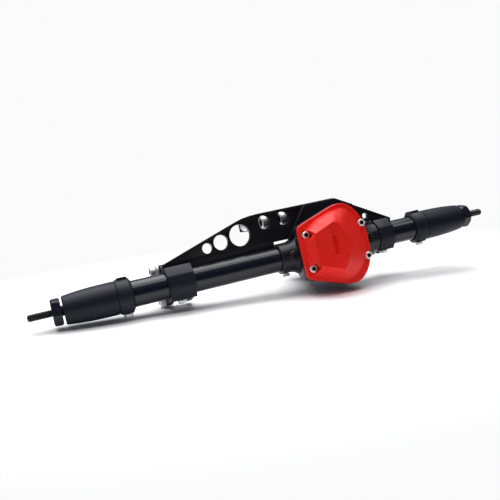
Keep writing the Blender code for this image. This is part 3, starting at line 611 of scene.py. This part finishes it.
def screw_for(node, axis, toward, head_r, head_h, shank_r, pitch, head="cap"):
    """Detailed screw in the place of a packed one."""
    along = "XYZ".index(axis)
    low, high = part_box(node)
    centre = [(a + b) / 2 / MM for a, b in zip(low, high)]
    face, tip = (low[along] / MM, high[along] / MM)[::toward]
    centre[along] = 0.0
    shape = screw_shape(axis, centre, face, toward, head_r, head_h, shank_r, tip, pitch, head)
    screw = fit(solid(node + "_turned", shape, crease=40), steel, "bright_steel", "axle_housing", node)
    paint_socket_shade(screw, along, centre, face, toward, 0.56 * head_r, 0.7 * head_h)


for index in range(1, 5):
    screw_for(f"cover_screw_{index}", "Y", 1, 1.95, 1.6, 1.0, 0.4)
for side in ("left", "right"):
    screw_for(side + "_socket_screw", "Z", 1, 1.9, 1.3, 1.25, 0.45)
    screw_for(side + "_carrier_screw", "Z", 1, 2.35, 1.6, 1.25, 0.45, head="button")
    screw_for(side + "_mount_screw", "Z", 1, 2.35, 1.6, 1.25, 0.45, head="button")
    inward = 1 if side == "left" else -1
    screw_for(side + "_shock_screw", "X", inward, 2.75, 3.0, 1.5, 0.5)
    screw_for(side + "_lower_link_screw", "X", inward, 2.75, 1.6, 1.5, 0.5, head="button")
for index in (1, 2):
    screw_for(f"upper_link_screw_{index}", "X", 1, 3.5, 4.0, 2.0, 0.7)
    screw_for(f"wing_screw_{index}", "Y", -1, 1.9, 1.8, 1.0, 0.4)
    screw_for(f"truss_screw_{index}", "Y", -1, 1.9, 1.8, 1.0, 0.4)
    screw_for(f"bracket_screw_{index}", "Y", -1, 1.9, 1.8, 1.0, 0.4)

# ---- Set screws and washers -----------------------------------------------------------------------------
# A headless set screw in each round boss on the front of the sockets, and a pair of turned steel washers under
# the heads of the link and shock screws.
for side in ("left", "right"):
    node = side + "_socket_grub"
    low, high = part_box(node)
    start, end = low.y / MM, high.y / MM
    rings = [(start + 1.3, 0), (start + 1.2, hexagon(0.72)), (start + 0.05, hexagon(0.72)), (start, 1.1)]
    rings += thread_rings(start + 0.15, end - 0.3, 1.5, 0.5, 1) + [(end, 1.0), (end, 0)]
    centre = ((low.x + high.x) / 2 / MM, 0, (low.z + high.z) / 2 / MM)
    grub = solid(node + "_threaded", ring_stack(rings, 72, "Y", centre), crease=40)
    fit(grub, oxide_steel, "bright_steel", "axle_housing", node)
    # Painted shade inside the hex socket of the set screw.
    paint_socket_shade(grub, 1, centre, start, 1, 0.9, 1.4)
    for part in ("shock", "lower_link"):
        node = f"{side}_{part}_washer"
        low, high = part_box(node)
        start, end = low.x / MM, high.x / MM
        rings = [(start, 1.9), (start, 2.95), (start + 0.2, 3.15), (end - 0.2, 3.15), (end, 2.95), (end, 1.9),
                 (end - 0.15, 1.75), (start + 0.15, 1.75)]
        centre = (0, (low.y + high.y) / 2 / MM, (low.z + high.z) / 2 / MM)
        shape = ring_stack(rings, 64, "X", centre, closed=True)
        fit(solid(node + "_turned", shape), steel, "bright_steel", "axle_housing", node)

# ---- Wheel carriers -------------------------------------------------------------------------------------
# Barrel-shaped carriers on the tube ends, turned from bar, blasted and anodised matt black. A groove parts the
# plain collar from the barrel; an ear on top and a foot below the collar take the clamping screw.
CARRIER_IN = 81.0
COLLAR_OUT = 88.6
CARRIER_OUT = 114.4
COLLAR_R = 8.75
BARREL_R = 8.4
BEARING_R = 5.2
TUBE_STOP = 89.4          # the tube ends here inside the carrier
CLAMP_SCREW_X = 85.0
FOOT_HALF = 3.2
matt_black = metal("matt_black_anodised", (0.006, 0.006, 0.014), (0.009, 0.009, 0.021), 0.48, 0.0,
                   (2800.0, 2800.0, 2800.0), 0.00003, patch=60.0, specular=0.22, edge_highlight=0.04)


def mirrored(sign, points):
    return [(sign * a, b) for a, b in points]


collar = [(CARRIER_IN, COLLAR_R - 1.5), (CARRIER_IN + 0.15, COLLAR_R - 1.25),
          (CARRIER_IN + 1.3, COLLAR_R - 0.15), (CARRIER_IN + 1.6, COLLAR_R), (COLLAR_OUT - 0.25, COLLAR_R),
          (COLLAR_OUT - 0.05, COLLAR_R - 0.15),
          (COLLAR_OUT, 8.0)]
barrel = [(COLLAR_OUT + 0.35, 8.0), (COLLAR_OUT + 0.42, 8.3)]
barrel += [(COLLAR_OUT + 0.5 + (CARRIER_OUT - COLLAR_OUT - 1.3) * i / 28, BARREL_R - 1.3 * (i / 28) ** 2.6)
           for i in range(29)]
barrel += [(CARRIER_OUT - 0.5, 7.0), (CARRIER_OUT - 0.15, 6.8), (CARRIER_OUT, 6.45)]
inside = [(CARRIER_OUT, 5.5), (CARRIER_OUT - 0.3, 5.15), (109.8, 5.15), (109.8, 4.0), (93.9, 4.0),
          (93.9, BEARING_R), (TUBE_STOP, BEARING_R), (TUBE_STOP, TUBE_R + 0.12),
          (CARRIER_IN + 0.3, TUBE_R + 0.12), (CARRIER_IN, TUBE_R + 0.4)]
ear = [(87.4, 7.4), (87.2, 9.4), (82.9, 9.4), (CARRIER_IN + 0.7, 7.9), (CARRIER_IN + 0.7, 7.4)]
foot = [(88.0, -7.4), (87.8, -8.9), (82.7, -8.9), (CARRIER_IN + 0.7, -7.9), (CARRIER_IN + 0.7, -7.4)]
for side, sign in (("left", -1), ("right", 1)):
    stock = ring_stack(mirrored(sign, collar + barrel + inside), 128, closed=True)
    lugs = [bevelled_plate([mirrored(sign, lug)[::sign]], -FOOT_HALF, FOOT_HALF, 0.2) for lug in (ear, foot)]
    tube_seat = bore(sign * 70, sign * TUBE_STOP, TUBE_R + 0.12, 96)
    screw_hole = bore(-12, -6, 1.5, 24, "Z", (sign * CLAMP_SCREW_X, 0, 0))
    carrier = machined(side + "_carrier", stock, lugs, [tube_seat, screw_hole])
    fit(carrier, matt_black, "black_matte_anodised", "axle_housing", side + "_wheel_carrier")

# ---- Drive shafts, hexes and cross pins -----------------------------------------------------------------
# Steel shafts with a black oxide finish. Each ends in a threaded stub for the wheel nut; a cross pin drives
# the black aluminium hex that the wheel sits on, and a slot across the back of the hex drops over the pin.
STUB_R = 1.95
STUB_PITCH = 0.7
PIN_R = 1.0
HEX_HALF = 6.0
HEX_TURN = radians(16.1)
PIN_X = 116.7
SHAFT_SHOULDER = 119.5
CHAMFER_R = 6.55


def placed_by_hex(shape, sign, shift=0.0):
    """Turn a shape with the flats of the hex and put it on the left or the right end."""
    for vert in shape.verts:
        x, y, z = vert.co
        vert.co = (sign * x + sign * shift, y * cos(HEX_TURN) + z * sin(HEX_TURN),
                   z * cos(HEX_TURN) - y * sin(HEX_TURN))
    return shape


for side, sign in (("left", -1), ("right", 1)):
    low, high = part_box(side + "_drive_shaft")
    inner, tip = (high.x, low.x) if sign < 0 else (low.x, high.x)
    inner, tip = inner / MM, tip / MM
    shoulder = sign * SHAFT_SHOULDER
    rings = [(inner, 0), (inner, SHAFT_R - 0.3), (inner + sign * 0.3, SHAFT_R)]
    rings += [(inner + (shoulder - inner) * i / 12, SHAFT_R) for i in range(1, 12)]
    rings += [(shoulder - sign * 0.15, SHAFT_R), (shoulder, SHAFT_R - 0.15), (shoulder, 1.6),
              (shoulder + sign * 0.5, 1.6)]
    rings += thread_rings(shoulder + sign * 0.6, tip - sign * 0.75, STUB_R, STUB_PITCH, sign, 8)
    rings += [(tip - sign * 0.6, 1.55), (tip - sign * 0.15, 1.25), (tip, 0.8), (tip, 0)]
    shaft = solid(side + "_shaft", ring_stack(rings, 56), crease=45)
    fit(shaft, oxide_steel, "dark_steel", "wheel_drive", side + "_drive_shaft")

    near, far = sorted(abs(x) for x in limits(side + "_wheel_hex"))
    flats = hexagon(HEX_HALF, pi - HEX_TURN)

    def chamfered(turn, flats=flats):
        return min(flats(turn), CHAMFER_R)
    body = ring_stack(mirrored(sign, [(near, 2.7), (near, 6.1), (near + 0.45, chamfered), (near + 0.9, flats),
                                      (far - 0.9, flats), (far - 0.45, chamfered), (far, 6.05), (far, 2.7),
                                      (far - 0.2, 2.55), (near + 0.2, 2.55)]), 144, closed=True)
    half = PIN_R + 0.15
    slot = bevelled_plate([[(near - 1, -half), (PIN_X + half, -half), (PIN_X + half, half), (near - 1, half)]],
                          -8.0, 8.0, 0.1)
    hub = machined(side + "_hub", body, [], [placed_by_hex(slot, sign)])
    fit(hub, satin_black, "black_anodised", "wheel_drive", side + "_wheel_hex")

    pin = ring_stack([(-5.3, 0), (-5.3, 0.7), (-5.0, PIN_R), (5.0, PIN_R), (5.3, 0.7), (5.3, 0)], 40, "Y")
    pin = solid(side + "_pin", placed_by_hex(pin, sign, PIN_X))
    fit(pin, race_steel, "bright_steel", "wheel_drive", side + "_hex_pin")

# ---- Link mounts ----------------------------------------------------------------------------------------
# Milled blocks clamped round the tubes, blasted and anodised matt black. The front is faceted, the slot on top
# takes the truss plate, and two cheeks behind hold the shock and the lower link between them.
MOUNT_R = 8.5
MOUNT_BORE = TUBE_R + 0.12
SLOT_HALF = 1.5
CHEEKS = {"left": 3.0, "right": 2.2}
LINK_Y = 12.0
SHOCK_Z = {"left": 8.6, "right": 6.4}
LOWER_LINK_Z = -7.8


def arc(centre, radius, start, end, steps):
    """Points on an arc, angles in degrees."""
    turns = [radians(start + (end - start) * i / steps) for i in range(steps + 1)]
    return [(centre[0] + radius * cos(t), centre[1] + radius * sin(t)) for t in turns]


bore_side = arc((0, 0), MOUNT_BORE, 90 - 12.7, -270 + 12.7, 72)
clamp = [(-SLOT_HALF, 9.0), (-3.1, 9.0), (-3.6, 8.9), (-4.1, 8.5), (-7.6, 4.7), (-7.9, 4.2), (-8.05, 3.6)]
clamp += arc((0, 0), MOUNT_R, 162, 238, 14)
clamp += [(-3.9, -8.5), (5.0, -8.5)] + arc((0, 0), MOUNT_R, -50, 50, 18)
clamp += [(5.3, 9.0), (SLOT_HALF, 9.0)] + bore_side
pad = [(SLOT_HALF, 6.9), (SLOT_HALF, 11.6), (5.6, 11.6), (5.6, 7.0), (7.0, 6.2), (6.0, 4.5)]
for side in ("left", "right"):
    start, end = limits(side + "_link_mount")
    pad_start = end - 7.0 if side == "left" else start
    cheek = arc((LINK_Y, SHOCK_Z[side] - 0.4), 2.9, 90, 0, 10) + arc((LINK_Y, LOWER_LINK_Z), 2.9, 0, -90, 10)
    cheek += [(2.2, -8.4), (2.2, -6.6)] + arc((0, 0), MOUNT_BORE, -70, 70, 24)
    cheek += [(2.2, 6.6), (2.2, SHOCK_Z[side] + 2.0)]
    cheek_holes = [circle((LINK_Y, z), 1.65, 32) for z in (SHOCK_Z[side], LOWER_LINK_Z)]
    shapes = [bevelled_plate([clamp], start, end, 0.3, "X"),
              bevelled_plate([cheek, *cheek_holes], start, start + CHEEKS[side], 0.25, "X"),
              bevelled_plate([cheek, *cheek_holes], end - CHEEKS[side], end, 0.25, "X"),
              bevelled_plate([pad], pad_start, pad_start + 7.0, 0.2, "X")]
    mount = solid(side + "_mount", *shapes, crease=25)
    fit(mount, matt_black, "black_matte_anodised", "axle_housing", side + "_link_mount")

# ---- Truss plate ----------------------------------------------------------------------------------------
# Flat aluminium plate, 2.5 mm thick, profile-milled with six lightening holes and black anodised. It stands in
# the slots of both mounts, arches over the housing, and is screwed to the wing from behind.
TRUSS_HALF = 1.25
plate_black = metal("plate_black_anodised", (0.004, 0.004, 0.006), (0.007, 0.007, 0.009), 0.34, 0.0,
                    (60.0, 60.0, 2200.0), 0.000008, specular=0.35, edge_highlight=0.14)
truss_edge = [(-63.9, 10.55), (-20.5, 24.45), (-17.0, 25.4), (-13.0, 25.95), (-8.0, 26.2), (36.0, 26.2),
              (37.6, 25.95), (39.0, 25.2), (69.4, 8.7), (69.4, 6.5), (57.0, 6.5), (57.0, 9.5), (50.2, 9.5),
              (48.2, 12.0), (44.4, 18.6), (40.2, 21.8), (28.0, 22.0), (19.0, 18.2), (11.6, 15.1), (9.4, 13.4),
              (8.3, 11.4), (7.4, 9.5), (-2.7, 9.5), (-2.7, 6.5), (-63.9, 6.5)]
lightening = [(-38.9, 14.0, 2.7), (-31.1, 15.5, 3.95), (-20.2, 17.0, 5.7), (-5.6, 21.1, 3.55),
              (5.3, 21.1, 3.55), (54.1, 12.65, 1.7)]
truss_holes = [circle((x, z), r, 64) for x, z, r in lightening]
shape = bevelled_plate([truss_edge, *truss_holes], -TRUSS_HALF, TRUSS_HALF, 0.2)
fit(solid("truss", shape, crease=25), plate_black, "black_anodised", "axle_housing", "truss_plate")

# ---- Upper link bracket ---------------------------------------------------------------------------------
# Bent-up bracket behind the truss plate with two lugs for the cap screws of the upper links, and the turned
# steel spacer that keeps it off the plate. Two long screws hold both to the plate.
WEB_Y = 9.2
web = [(-16.0, 18.8), (-8.0, 18.0), (13.6, 18.0), (13.6, 20.6), (20.0, 20.6), (20.0, 25.4), (-12.0, 25.4),
       (-16.0, 24.0)]
shapes = [bevelled_plate([web], WEB_Y, WEB_Y + 2.0, 0.2)]
for start, end in ((-0.7, 4.3), (10.15, 13.6)):
    lug = [(1.6, 18.1), (10.0, 18.1), (10.0, 25.3), (3.0, 25.3), (1.6, 24.2)]
    shapes.append(bevelled_plate([lug, circle((5.6, 21.4), 2.1, 40)], start, end, 0.2, "X"))
post = [(1.6, 1.1), (1.6, 2.0), (1.8, 2.2), (10.0, 2.2), (10.0, 1.1)]
shapes.append(ring_stack(post, 48, "Y", (17.4, 0, 23.2), closed=True))
bracket = solid("link_bracket", *shapes, crease=25)
fit(bracket, plate_black, "black_anodised", "axle_housing", "upper_link_bracket")
start, end = limits("bracket_spacer", 1)
shape = ring_stack([(start, 1.4), (start, 2.2), (start + 0.2, 2.4), (end - 0.2, 2.4), (end, 2.2), (end, 1.4),
                    (end - 0.2, 1.2), (start + 0.2, 1.2)], 56, "Y", (-13.5, 0, 21.2), closed=True)
fit(solid("bracket_spacer_turned", shape), steel, "bright_steel", "axle_housing", "bracket_spacer")

# ---- Table, light and camera ----------------------------------------------------------------------------
# The axle lies tilted on a white table, so the table slopes in the frame of the axle and touches its lowest
# point. A big soft light hangs above it, a little behind, and a strip light in front.
TABLE_UP = Vector((0.09, -0.22, 0.97)).normalized()
WHITE = 0.96
lowest = min(TABLE_UP.dot(corner.co) for node in frame["nodes"].values() for corner in node.data.vertices)
sheet = bmesh.new()
bmesh.ops.create_circle(sheet, cap_ends=True, segments=96, radius=0.5)
bmesh.ops.rotate(sheet, verts=sheet.verts, cent=(0, 0, 0),
                 matrix=Vector((0, 0, 1)).rotation_difference(TABLE_UP).to_matrix())
bmesh.ops.translate(sheet, verts=sheet.verts, vec=TABLE_UP * (lowest - 0.0002))
table_mesh = bpy.data.meshes.new("table")
sheet.to_mesh(table_mesh)
sheet.free()
table = bpy.data.objects.new("table", table_mesh)
bpy.context.scene.collection.objects.link(table)
paper = bpy.data.materials.new("white_paper")
paper.use_nodes = True
nodes, links = paper.node_tree.nodes, paper.node_tree.links
shader = nodes["Principled BSDF"]
shader.inputs["Base Color"].default_value = (0.93, 0.93, 0.93, 1)
shader.inputs["Roughness"].default_value = 0.75
shader.inputs["Specular IOR Level"].default_value = 0.2
place = nodes.new("ShaderNodeTexCoord")
squeeze = nodes.new("ShaderNodeMapping")
squeeze.inputs["Scale"].default_value = (4.4, 6.5, 6.5)
distance = nodes.new("ShaderNodeVectorMath")
distance.operation = "LENGTH"
fade = nodes.new("ShaderNodeMapRange")
fade.inputs["From Min"].default_value = 0.45
fade.inputs["From Max"].default_value = 1.2
fade.inputs["To Min"].default_value = 1.0
fade.inputs["To Max"].default_value = 0.0
fade.interpolation_type = "SMOOTHSTEP"
links.new(place.outputs["Object"], squeeze.inputs["Vector"])
links.new(squeeze.outputs["Vector"], distance.inputs[0])
links.new(distance.outputs["Value"], fade.inputs["Value"])
links.new(fade.outputs["Result"], shader.inputs["Alpha"])
table.data.materials.append(paper)

world = bpy.data.worlds.new("studio")
bpy.context.scene.world = world
world.use_nodes = True
nodes, links = world.node_tree.nodes, world.node_tree.links
backdrop = nodes["Background"]
backdrop.inputs["Color"].default_value = (WHITE, WHITE, WHITE, 1)
room = nodes.new("ShaderNodeBackground")
direction = nodes.new("ShaderNodeTexCoord")
toward_back = nodes.new("ShaderNodeVectorMath")
toward_back.operation = "DOT_PRODUCT"
toward_back.inputs[1].default_value = (0.0, 0.45, 0.89)
raised = nodes.new("ShaderNodeMapRange")
raised.inputs["From Min"].default_value = -1.0
height = nodes.new("ShaderNodeValToRGB")
height.color_ramp.elements[0].position = 0.35
height.color_ramp.elements[0].color = (0.03, 0.03, 0.035, 1)
height.color_ramp.elements[1].position = 0.95
height.color_ramp.elements[1].color = (0.3, 0.3, 0.35, 1)
seen = nodes.new("ShaderNodeLightPath")
either = nodes.new("ShaderNodeMixShader")
links.new(direction.outputs["Generated"], toward_back.inputs[0])
links.new(toward_back.outputs["Value"], raised.inputs["Value"])
links.new(raised.outputs["Result"], height.inputs["Fac"])
links.new(height.outputs["Color"], room.inputs["Color"])
links.new(seen.outputs["Is Camera Ray"], either.inputs["Fac"])
links.new(room.outputs["Background"], either.inputs[1])
links.new(backdrop.outputs["Background"], either.inputs[2])
links.new(either.outputs["Shader"], nodes["World Output"].inputs["Surface"])


def softbox(name, place, target, size, power):
    """Rectangular soft light aimed at a point, its first side along X."""
    light = bpy.data.lights.new(name, "AREA")
    light.shape = "RECTANGLE"
    light.size, light.size_y = size
    light.energy = power
    lamp = bpy.data.objects.new(name, light)
    lamp.location = place
    back = (Vector(place) - Vector(target)).normalized()
    across = Vector((1, 0, 0)) - back * back.x
    across.normalize()
    facing = Matrix((across, back.cross(across), back)).transposed().to_4x4()
    lamp.matrix_world = Matrix.Translation(place) @ facing
    bpy.context.scene.collection.objects.link(lamp)


softbox("overhead", (0.03, 0.06, 0.55), (0, 0, 0), (0.7, 0.45), 5.2)
softbox("front_strip", (0.05, -0.3, 0.56), (0, 0, 0), (1.2, 0.1), 2.2)

camera_data = bpy.data.cameras.new("camera")
camera_data.lens = 44.23
camera_data.sensor_width = 36.0
camera = bpy.data.objects.new("camera", camera_data)
turned_right, tipped_up, rolled = radians(18.08), radians(-0.135), radians(-12.87)
aim = (Matrix.Rotation(-turned_right, 4, "Z") @ Matrix.Rotation(pi / 2 + tipped_up, 4, "X")
       @ Matrix.Rotation(rolled, 4, "Z"))
camera.matrix_world = Matrix.Translation((-0.11684, -0.30818, 0.00906)) @ aim
bpy.context.scene.collection.objects.link(camera)
bpy.context.scene.camera = camera
bpy.context.scene.view_settings.view_transform = "Standard"
